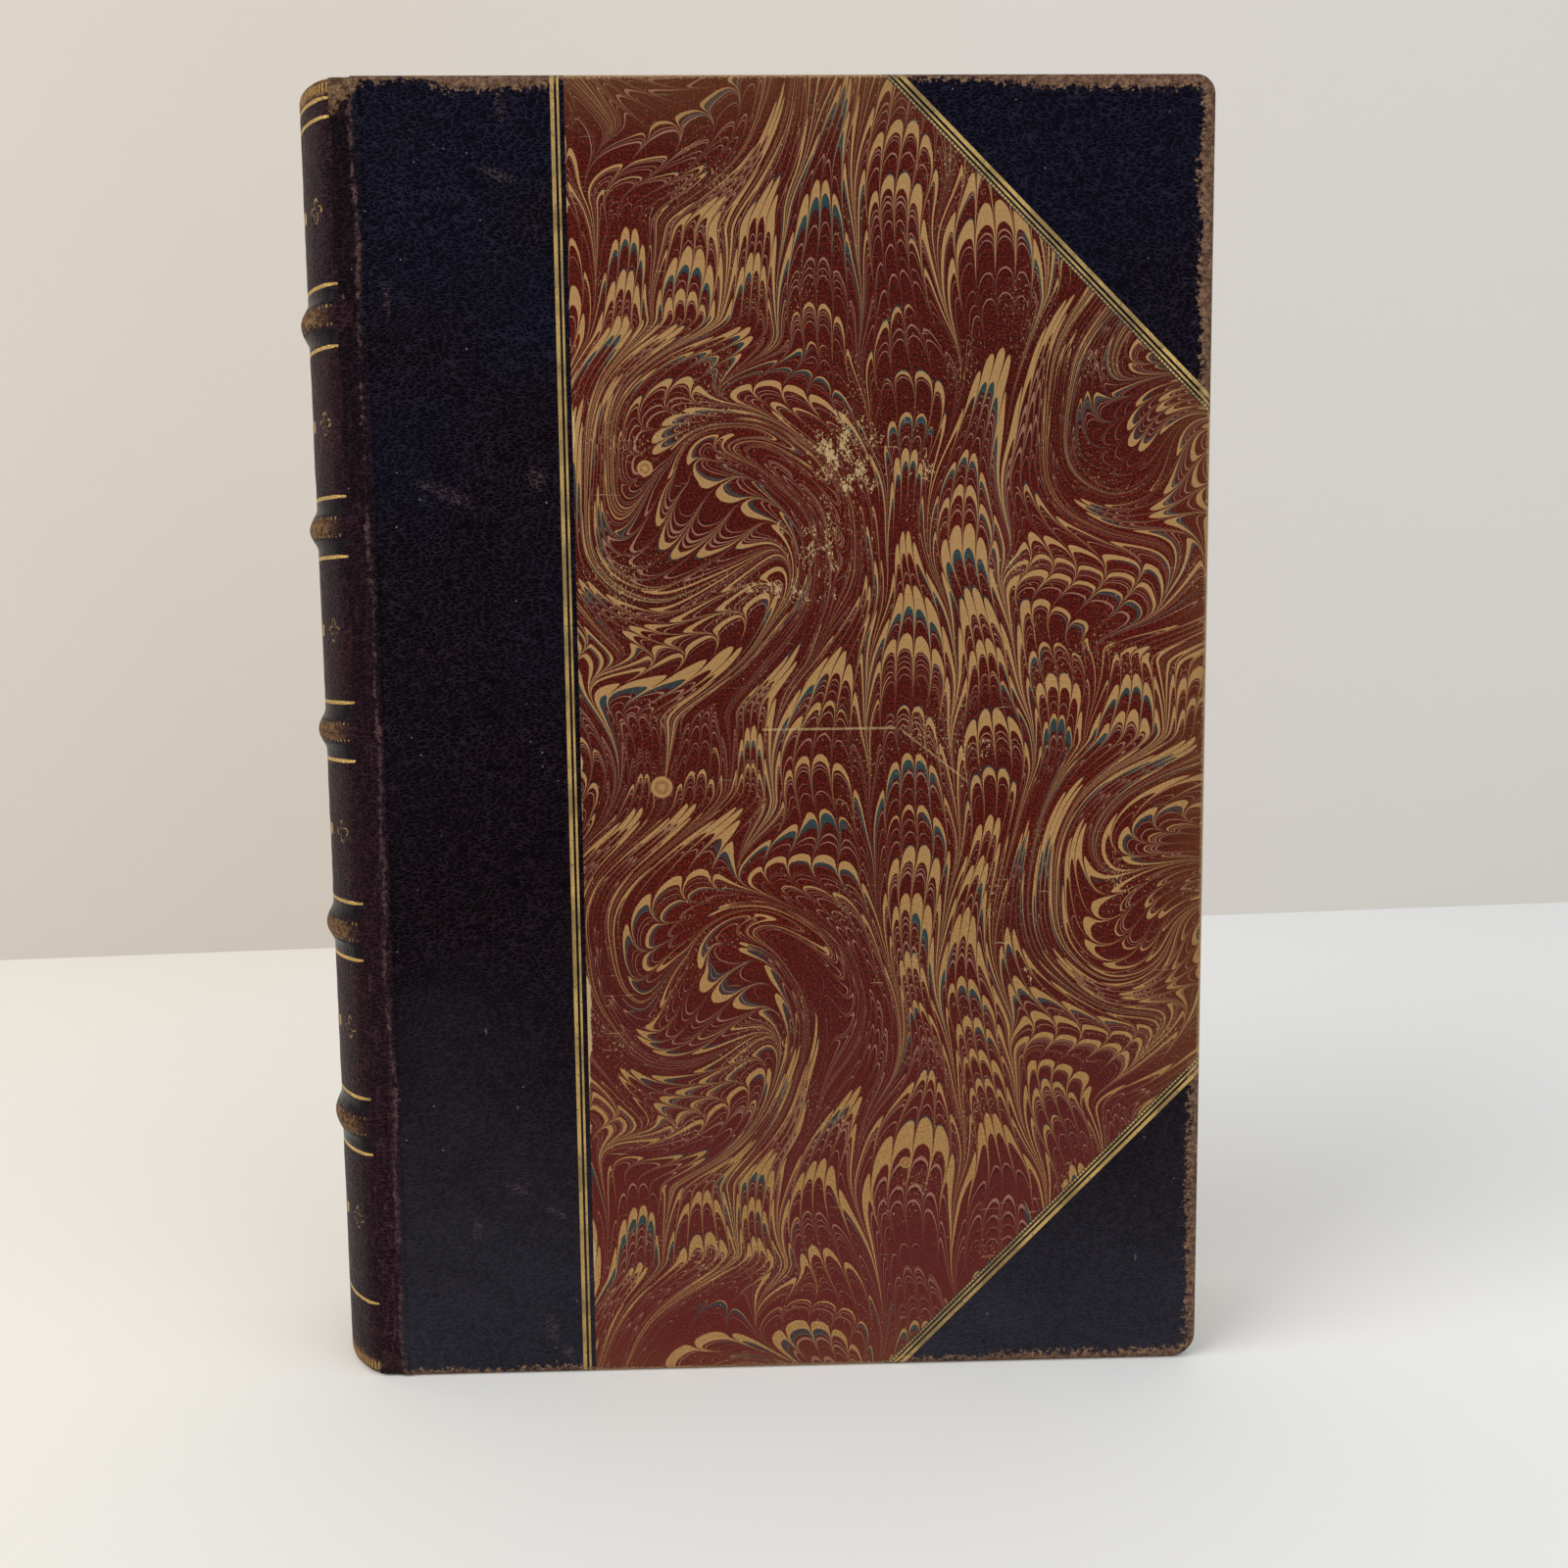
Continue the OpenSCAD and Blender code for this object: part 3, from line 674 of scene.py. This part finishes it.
def plain_paper(name, light, dark, browned=0.0):
    bench = Bench(name)
    x, y, z = bench.x, bench.y, bench.z
    fibre = bench.noise(x * 1.4, y * 1.4, z * 1.4, detail=5.0, rough=0.7)
    cloud = bench.noise(x * 0.015, y * 0.02, z * 0.015, detail=3.0)
    foxing = bench.noise(x * 0.12, y * 0.1, z * 0.12, detail=4.0).step(0.66, 0.78)
    colour = bench.mix((fibre * 0.6 + cloud * 0.8 - 0.2).step(0.25, 0.75), light, dark)
    colour = bench.mix(foxing * 0.35, colour, FOXED)
    if browned:
        from_fore, from_ends = FORE - x, z.least(TALL - z)
        across_corner = (from_fore + from_ends - CORNER_BORDER) * 0.7
        from_edge = from_fore.least(from_ends).least(across_corner).least(x - STRIP_BORDER)
        stain = 1 - (from_edge + (cloud - 0.5) * 8 + (fibre - 0.5) * 3).step(9, 17)
        colour = bench.mix(stain * browned, colour, BROWNED)
    return bench.finish(colour, 0.85, fibre, relief=0.03, specular=0.2)


edge_paper = page_edges()
end_paper = plain_paper("endpapers", (0.72, 0.63, 0.47), (0.64, 0.53, 0.37), browned=0.35)
grey_board = plain_paper("millboard", (0.30, 0.23, 0.15), (0.22, 0.16, 0.10))
kraft = plain_paper("linings", (0.46, 0.36, 0.22), (0.38, 0.29, 0.17))

# %% Dress the CAD pieces
FINISHES = {
    "side_leather": navy_goatskin,
    "head_corner": navy_goatskin,
    "tail_corner": navy_goatskin,
    "marbled_paper": marbled_paper,
    "front_gilt_rules": gold,
    "back_gilt_rules": gold,
    "pastedown": end_paper,
    "flyleaf": end_paper,
    "text_block": edge_paper,
    "board": grey_board,
    "fill": kraft,
    "lining": kraft,
    "band_core": kraft,
}
for name, part in nodes.items():
    for word, finish in FINISHES.items():
        if word in name:
            part.data.materials.clear()
            part.data.materials.append(finish)
            break
    else:
        print("dressed by a new piece:", name)

# %% [markdown]
# ## The spine's outline
# Seen from above, the spine is an arc between two small round shoulders. The leather was a flat
# piece before it was pasted round it, so a point is found by walking a distance round the outline
# from its middle. The walk returns the place and the direction that points out of the book.

# %% Walk round the spine
HALF_ARC = ARC_ANGLE * ARC_R
SHOULDER_TURN = math.pi / 2 - ARC_ANGLE
HALF_ROUND = HALF_ARC + SHOULDER_TURN * SHOULDER_R
# The leather ends just before the joint
HALF_SPINE = HALF_ROUND + SHOULDER_W - 0.2 * MM


def round_the_spine(walk):
    """Place and outward direction at a distance from the middle, the back side positive."""
    side, far = (1 if walk > 0 else -1), abs(walk)
    if far < HALF_ARC:
        turn = far / ARC_R
        out = Vector((-math.cos(turn), side * math.sin(turn), 0))
        return Vector((JOINT_X + ARC_CX, 0, 0)) + out * ARC_R, out
    turn = min(ARC_ANGLE + (far - HALF_ARC) / SHOULDER_R, math.pi / 2)
    out = Vector((-math.cos(turn), side * math.sin(turn), 0))
    centre = Vector((JOINT_X - SHOULDER_W, side * SHOULDER_Y, 0))
    straight = max(far - HALF_ROUND, 0)
    return centre + out * SHOULDER_R + Vector((straight, 0, 0)), out


print("leather round the spine:", round(2 * HALF_SPINE / MM, 1), "mm")

# %% [markdown]
# ## The spine's leather with its raised bands
# A grid is the flat leather. Each of its points is carried round the spine, and lifted where a
# cord lies under it: a band is full in the middle and sinks towards the joints, with soft feet
# where the wet leather was nipped against the cord. At both ends the leather turns over the
# headband in a rounded cap. The grid keeps its flat place as a UV map, which the tooling follows.

# %% Height of the leather over the cords
# Heights of the bands in millimetres
TOP_BAND, BAND_PITCH = 198.9, 37.4
MIDDLE_BAND, LOWEST_BAND = TOP_BAND - 2 * BAND_PITCH, TOP_BAND - 4 * BAND_PITCH
BAND_Z = [(TOP_BAND - BAND_PITCH * i) * MM for i in range(5)]
BAND_HALF, BAND_HEAD, BAND_TAIL = 3.7 * MM, 1.55 * MM, 1.15 * MM
FADE_FROM, FADE_TO = 14.5 * MM, 24.0 * MM


def lift(walk, z):
    """How far the leather stands off the outline at a place on it."""
    near = min(abs(z - centre) for centre in BAND_Z) / BAND_HALF
    proud = BAND_TAIL + (BAND_HEAD - BAND_TAIL) * z / BOOK_H
    fade = min(max((abs(walk) - FADE_FROM) / (FADE_TO - FADE_FROM), 0), 1)
    band = max(1 - near**1.9, 0) ** 1.6 * (1 - 0.88 * fade * fade * (3 - 2 * fade))
    here = Vector((walk, z, 0)) / MM
    slack = (0.10 * noise.noise(here * 0.09) + 0.05 * noise.noise(here * 0.31)) * (1 - fade)
    knock = 0.16 * noise.noise(here * 0.22 + Vector((40, 7, 0))) * band
    return proud * band + (slack + knock) * MM


# %% The cap's section
CAP_ROUND, CAP_FLAT, CAP_LIP = 1.3 * MM, 0.9 * MM, 0.5 * MM
CAP_LENGTH = math.pi / 2 * (CAP_ROUND + CAP_LIP) + CAP_FLAT
# How far the cap sinks towards the joints
CAP_SAG = 0.35 * MM


def over_the_cap(run):
    """How far in and how far below the top edge the leather is, after a run over the cap."""
    first = math.pi / 2 * CAP_ROUND
    if run < first:
        turn = run / CAP_ROUND
        return CAP_ROUND * (1 - math.cos(turn)), CAP_ROUND * (1 - math.sin(turn))
    if run < first + CAP_FLAT:
        return CAP_ROUND + run - first, 0
    turn = (run - first - CAP_FLAT) / CAP_LIP
    return CAP_ROUND + CAP_FLAT + CAP_LIP * math.sin(turn), CAP_LIP * (1 - math.cos(turn))


# %% Shape the spine's leather
SPINE_WALL, CELLS_ROUND, CELLS_ALONG = 0.4 * MM, 84, 400


def add_piece(name, shape, material):
    shape.normal_update()
    mesh = bpy.data.meshes.new(name)
    shape.to_mesh(mesh)
    shape.free()
    mesh.shade_smooth()
    mesh.materials.append(material)
    piece = bpy.data.objects.new(name, mesh)
    bpy.context.scene.collection.objects.link(piece)
    print(name, "has", len(mesh.vertices), "points")
    return piece


def spine_place(walk, run):
    """Where a point of the flat leather ends up: walk is round the spine, run is from the tail."""
    straight = BOOK_H - 2 * CAP_ROUND
    inset, sag, z = 0.0, 0.0, run + CAP_ROUND
    beyond = max(-run, run - straight)
    if beyond > 0:
        inset, below = over_the_cap(beyond)
        sag = math.copysign(CAP_SAG * (walk / HALF_SPINE) ** 2, run)
        z = BOOK_H - below if run > 0 else below
    place, out = round_the_spine(walk)
    place = place + out * (lift(walk, z) - inset)
    place.z = z - sag
    return place


def shape_spine(material):
    run_length = BOOK_H - 2 * CAP_ROUND + 2 * CAP_LENGTH
    shape = bmesh.new()
    bmesh.ops.create_grid(
        shape, x_segments=CELLS_ROUND, y_segments=CELLS_ALONG, size=1, calc_uvs=True
    )
    flat = shape.loops.layers.uv.verify()
    for point in shape.verts:
        walk = point.co.x * HALF_SPINE
        run = (point.co.y + 1) / 2 * run_length - CAP_LENGTH
        for loop in point.link_loops:
            loop[flat].uv = (walk, run + CAP_ROUND)
        point.co = spine_place(walk, run)
    bmesh.ops.recalc_face_normals(shape, faces=shape.faces)
    bmesh.ops.solidify(shape, geom=shape.faces[:], thickness=-SPINE_WALL)
    return add_piece("spine_cover", shape, material)


# %% [markdown]
# ## Tooling and wear on the spine
# A finisher ruled gold on both sides of every band, cut short of the joints, and pressed black,
# polished zones beside the bands. A row of fine gold ticks crosses each cap. Every panel holds a
# small flower, with a sprig towards each joint that is mostly rubbed away. Sun and hands have
# turned the leather purple-brown, and rubbed the crests of the bands and the caps to tan.

# %% Colours and places of the tooling
SPINE_PURPLE = (0.0054, 0.0013, 0.0044)
SPINE_BROWN = (0.0130, 0.0034, 0.0052)
# Painted highlight for the spine's creases
SPINE_CREASE_HIGHLIGHT = (0.049, 0.0150, 0.0220)
SPINE_BLACK = (0.0030, 0.0022, 0.0038)
CREST_BROWN, CREST_TAN = (0.095, 0.043, 0.020), (0.27, 0.15, 0.065)
SHOULDER_SCUFF = (0.066, 0.032, 0.036)
GOLD_THIN = (0.36, 0.235, 0.085)
# Distance of the rules from a band, and heights of the rules near the caps, in millimetres
RULE_OFFSET, LONE_RULES = 5.4, (236.2, 233.0, 14.5)
TICK_PITCH, DOT_ROLL_PITCH = 0.82, 0.9
SPRIG_AT = 16.6


# %% Leather of the spine
def spine_goatskin():
    bench = Bench("spine_goatskin")
    walk, run = bench.leather_uv()
    out = walk.size()
    grain, creases = goat_grain(bench, walk, run, 0.0)
    cloud = bench.noise(walk * 0.05, run * 0.035, 3.0, detail=4.0)
    fray = bench.noise(walk * 0.9, run * 0.9, 1.0, detail=5.0, rough=0.75)
    colour = bench.mix(cloud.step(0.38, 0.62), SPINE_BROWN, SPINE_PURPLE)
    # Painted highlight along the creases
    colour = bench.mix(creases * 0.55, colour, SPINE_CREASE_HIGHLIGHT)
    # Distance to the nearest band, and the polished zone beside it
    from_middle = (run - MIDDLE_BAND).size()
    from_band = (run - LOWEST_BAND).to_nearest(BAND_PITCH) + from_middle.step(92, 94) * 40
    polished = from_band.band(2.2, 5.0, 0.25) * (1 - (out + cloud * 3).step(21.5, 24.5))
    colour = bench.mix(polished * 0.85, colour, SPINE_BLACK)
    # Rubbed crests and caps
    on_crest = 1 - (from_band + (fray - 0.5) * 1.2).step(0.9, 1.9)
    crest = on_crest * (fray * 1.2 + cloud * 0.6 - 0.36).step(0.30, 0.55)
    crest = crest * (1 - out.step(15.5, 21.5))
    ends = run.least(TALL - run)
    cap = (fray * 4.2 + 2.1 - ends - out.step(18, 24) * 1.3).step(0.0, 1.6)
    tan = bench.mix(fray.step(0.42, 0.62), CREST_BROWN, CREST_TAN)
    colour = bench.mix(crest * 0.9, colour, tan)
    colour = bench.mix(cap * 0.85, colour, tan)
    # Scuffed grain along the shoulder
    scuff = bench.noise(walk * 0.22, run * 0.10, 5.0, detail=5.0, rough=0.7).step(0.54, 0.72)
    colour = bench.mix(scuff * out.step(17, 22) * 0.35, colour, SHOULDER_SCUFF)
    # Gold rules beside the bands and near the caps
    taper = out.step(18.5, 24.5) * 0.26
    rule = 1 - ((from_band - RULE_OFFSET).size() + taper).step(0.26, 0.40)
    for at in LONE_RULES:
        rule = rule.most(1 - ((run - at).size() + taper).step(0.26, 0.40))
    ragged = bench.noise(run * 0.9, 4.0, bench.y * 0.02) * 3
    rule = rule * (1 - (out + ragged).step(24.4, 25.0))
    # Ticks across the caps, and a roll of dots along the flanks of each band
    ticks = walk.wave(TICK_PITCH).step(0.1, 0.7)
    ticks = ticks * (ends + (fray - 0.5) * 1.2).band(1.0, 2.8, 0.3) * 0.8
    dots = walk.wave(DOT_ROLL_PITCH).step(0.2, 0.8) * from_band.band(1.35, 1.85, 0.12)
    dots = dots * (1 - out.step(20, 21)) * fray.step(0.44, 0.56) * from_middle.band(-1, 92, 1)
    # A small flower with four petals in the middle of each panel
    tall = (run - LOWEST_BAND).math("FLOORED_MODULO", BAND_PITCH) - BAND_PITCH / 2
    tall = tall + from_middle.step(105, 106) * 60
    ray, bearing = radius(walk, tall), tall.math("ARCTAN2", walk) * 2
    fourfold = bearing.math("COSINE").size()
    petals = 1 - (ray - (fourfold * 6.2 + 2.0)).size().step(0.22, 0.40)
    heart = 1 - (ray - 1.5).size().step(0.2, 0.4)
    tips = fourfold.step(0.975, 0.985) * ray.band(9.6, 10.9, 0.15)
    veins = 1 - (bearing.math("SINE").size() * ray).step(0.30, 0.55)
    flower = petals.most(heart).most(tips).most(veins * ray.band(2.6, 6.4, 0.2))
    # A sprig towards each joint
    beside = out - SPRIG_AT
    lobe = (tall.math("ARCTAN2", beside) * 2).math("COSINE").size() * 1.5 + 0.5
    sprig = 1 - (radius(beside, tall) - lobe).size().step(0.16, 0.34)
    flower = flower.most(sprig * fray.step(0.46, 0.56) * 0.7)
    bare = bench.noise(walk * 0.7, run * 0.7, 9.0, detail=5.0, rough=0.8).step(0.56, 0.68)
    gilt = rule.most(ticks).most(dots * 0.8).most(flower) * (1 - bare)
    leaf = (fray * 0.8 + cloud * 0.4).step(0.42, 0.52)
    colour = bench.mix(gilt, colour, bench.mix(leaf, GOLD_THIN, GOLD))
    rough = 0.42 - polished * 0.14 + crest * 0.2 + cap * 0.25
    height = grain * (1 - polished * 0.85)
    return bench.finish(colour, rough, height, relief=0.50, metal=gilt * 0.85, specular=0.060)


spine = shape_spine(spine_goatskin())
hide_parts("spine_leather", "spine_gilt_rules")
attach(spine, "block")

# %% [markdown]
# ## Leather across each joint
# The leather runs from the spine onto the cover without a seam.


# %% Extrude a strip from a section
def strip_along(name, section, side, inset, steps, wall, material):
    """A thin sheet with this section, as long as the book less an inset at both ends."""
    shape = bmesh.new()
    low, high = inset, BOOK_H - inset
    points = [shape.verts.new((JOINT_X + x * MM, side * y * MM, low)) for x, y in section]
    front = [shape.edges.new(pair) for pair in zip(points, points[1:])]
    for _ in range(steps):
        grown = bmesh.ops.extrude_edge_only(shape, edges=front)["geom"]
        fresh = [item for item in grown if isinstance(item, bmesh.types.BMVert)]
        rails = [item for item in grown if isinstance(item, bmesh.types.BMEdge)]
        front = [edge for edge in rails if all(end in fresh for end in edge.verts)]
        bmesh.ops.translate(shape, vec=(0, 0, (high - low) / steps), verts=fresh)
    bmesh.ops.recalc_face_normals(shape, faces=shape.faces)
    bmesh.ops.solidify(shape, geom=shape.faces[:], thickness=wall)
    return add_piece(name, shape, material)


# %% Two joints of leather
# Distances from the joint and from the middle of the book, in millimetres
JOINT_SECTION = (
    (-3.4, 18.22),
    (-2.8, 18.38),
    (-2.1, 18.47),
    (-1.5, 18.50),
    (-1.0, 18.50),
    (-0.5, 18.48),
    (-0.1, 18.49),
    (0.3, 18.56),
    (0.7, 18.70),
    (1.1, 18.87),
    (1.5, 18.98),
    (2.0, 19.03),
    (2.5, 19.01),
)
JOINT_INSET, JOINT_STEPS, JOINT_WALL = 0.5 * MM, 120, 0.08 * MM
SIDES = (("front", -1), ("back", 1))
joint_goatskin = cover_leather("joint_goatskin", joint=True)
for name, side in SIDES:
    strip = strip_along(
        name + "_joint", JOINT_SECTION, side, JOINT_INSET, JOINT_STEPS, JOINT_WALL, joint_goatskin
    )
    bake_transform(strip)

# %% [markdown]
# ## Paper across each inner joint
# An endpaper folds down into the joint and up again onto the board. Shut, it is a narrow V in the
# gap beside the pages. Its fold lies on the hinge line.

# %% Two inner joints of paper
FOLD_SECTION = (
    (0.07, 14.74),
    (0.07, 15.5),
    (0.07, 16.3),
    (0.07, 17.0),
    (0.07, 17.7),
    (0.09, 18.15),
    (0.15, 18.28),
    (0.21, 18.15),
    (0.23, 17.6),
    (0.23, 16.7),
    (0.31, 16.2),
    (0.55, 15.65),
    (0.9, 15.3),
    (1.35, 15.1),
    (1.9, 14.96),
    (3.4, 14.95),
    (5.0, 14.95),
)
FOLD_INSET, FOLD_STEPS, FOLD_WALL, FOLD_BEND = 3.6 * MM, 24, 0.04 * MM, 0.06 * MM
for name, side in SIDES:
    fold = strip_along(
        name + "_inner_joint", FOLD_SECTION, side, FOLD_INSET, FOLD_STEPS, FOLD_WALL, end_paper
    )
    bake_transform(fold)

# %% [markdown]
# ## Headbands
# A headband is a cord wound with silk, two turns of red and two of cream. The cord is spun round
# the spine's arc in short steps, and every ring is swollen and pinched to make the turns of thread.

# %% Thread for the headbands
WRAP, RINGS_PER_TURN = 0.62 * MM, 8
CORD_R, CORD_SIDES = 1.0 * MM, 14
# How much a turn of thread swells the cord, and how tight it is wound
SWELL, TIGHT = 0.07, 0.95
# Radius of the headbands' arc, and their depth inside the book's ends in millimetres
BAND_RING, HEADBAND_IN = ARC_R - 2.2 * MM, 2.2
RED_SILK, CREAM_SILK, SILK_DUST = (0.19, 0.035, 0.028), (0.50, 0.40, 0.25), (0.28, 0.20, 0.13)


def wound_silk():
    bench = Bench("wound_silk")
    turns = bench.leather_uv()[0] / (WRAP / MM)
    red = (turns / 4).math("FRACT").step(0.47, 0.53)
    strands = (turns * (2 * math.pi)).math("COSINE")
    fray = bench.noise(turns * 3, bench.z * 5, bench.y * 5, detail=3.0)
    colour = bench.mix(red, RED_SILK, CREAM_SILK)
    colour = bench.mix((fray - 0.45).clamp() * 1.4, colour, SILK_DUST)
    return bench.finish(colour, 0.6, strands * 0.3 + fray, relief=0.08, specular=0.4)


# %% Wind a headband
def wind_headband(name, z, material):
    reach = ARC_ANGLE * 0.985
    steps = int(2 * reach * BAND_RING / WRAP * RINGS_PER_TURN)
    shape = bmesh.new()
    upright = Matrix.Rotation(math.pi / 2, 4, "X")
    first_turn = Matrix.Rotation(math.pi - reach, 3, "Z")
    ring = bmesh.ops.create_circle(shape, segments=CORD_SIDES, radius=CORD_R, matrix=upright)
    bmesh.ops.translate(shape, vec=(BAND_RING, 0, z), verts=ring["verts"])
    spun = list(shape.verts) + list(shape.edges)
    bmesh.ops.rotate(shape, cent=(0, 0, 0), matrix=first_turn, verts=shape.verts[:])
    bmesh.ops.spin(
        shape,
        geom=spun,
        cent=(0, 0, 0),
        axis=(0, 0, 1),
        angle=2 * reach,
        steps=steps,
        use_merge=False,
        use_duplicate=False,
    )
    ends = [edge for edge in shape.edges if edge.is_boundary]
    bmesh.ops.holes_fill(shape, edges=ends, sides=0)
    flat = shape.loops.layers.uv.verify()
    for point in shape.verts:
        turn = math.atan2(point.co.y, -point.co.x)
        spine_line = Vector((-math.cos(turn), math.sin(turn), 0)) * BAND_RING
        spine_line.z = z
        swell = 1 + SWELL * math.cos(2 * math.pi * turn * BAND_RING / WRAP)
        point.co = spine_line + (point.co - spine_line) * swell * TIGHT
        for loop in point.link_loops:
            loop[flat].uv = (turn * BAND_RING, 0)
    bmesh.ops.translate(shape, vec=(JOINT_X + ARC_CX, 0, 0), verts=shape.verts[:])
    bmesh.ops.recalc_face_normals(shape, faces=shape.faces)
    return add_piece(name, shape, material)


silk = wound_silk()
for cad, z in (("headband", TALL - HEADBAND_IN), ("tailband", HEADBAND_IN)):
    band = wind_headband("wound_" + cad, z * MM, silk)
    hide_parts(cad)
    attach(band, "block")

# %% [markdown]
# ## Table, wall and light
# The book stands on a pale table that ends at a warm grey wall, turned a little from the camera.
# Light comes softly from the left and above, like a window, and the sky fills the shadows so that
# a colour renders about as it is written.


# %% A matt surface for the setting
def matt(name, left, right):
    """Colour turning from a left tint to a right one: painted light, warm on the left, cool on the
    right.
    """
    bench = Bench(name)
    cloud = bench.noise(bench.x * 0.004, bench.y * 0.004, bench.z * 0.004)
    across = bench.x / 500 + (cloud - 0.5) * 0.6
    return bench.finish(bench.mix(across.step(-0.5, 0.5), left, right), 0.75, specular=0.2)


def panel(name, corners, material):
    shape = bmesh.new()
    shape.faces.new([shape.verts.new(corner) for corner in corners])
    board = add_piece(name, shape, material)
    return board


# %% Table and wall
TABLE_END = 0.40
WALL_TURN = 0.10
REACH = 3.0
left_end = (-REACH, TABLE_END - REACH * WALL_TURN)
right_end = (REACH, TABLE_END + REACH * WALL_TURN)
# Painted light: the table and the wall are warmer on the left and cooler on the right
table_white = matt("table_white", (0.875, 0.838, 0.770), (0.875, 0.870, 0.86))
near_end = [(-REACH, -REACH, 0), (REACH, -REACH, 0)]
panel("table", [*near_end, (*right_end, 0), (*left_end, 0)], table_white)
wall_grey = matt("wall_grey", (0.615, 0.553, 0.490), (0.665, 0.618, 0.565))
panel("wall", [(*left_end, 0), (*right_end, 0), (*right_end, REACH), (*left_end, REACH)], wall_grey)

# %% Lights
AIM = (0, 0, 0.1)


def soft_light(name, size, power, place, colour):
    lamp = bpy.data.lights.new(name, "AREA")
    lamp.shape, lamp.size, lamp.energy, lamp.color = "SQUARE", size, power, colour
    holder = bpy.data.objects.new(name, lamp)
    bpy.context.scene.collection.objects.link(holder)
    holder.location = place
    holder.rotation_euler = (Vector(AIM) - Vector(place)).to_track_quat("-Z", "Y").to_euler()
    print(name, "at", place)


soft_light("window", 1.1, 15, (-1.1, -0.75, 1.05), (1.0, 0.97, 0.93))
soft_light("fill", 1.6, 9, (1.2, -1.2, 0.9), (0.84, 0.92, 1.0))
world = bpy.data.worlds.new("room")
world.use_nodes = True
sky = world.node_tree.nodes["Background"]
sky.inputs["Color"].default_value = (0.90, 0.95, 1.0, 1)
sky.inputs["Strength"].default_value = 0.70
bpy.context.scene.world = world
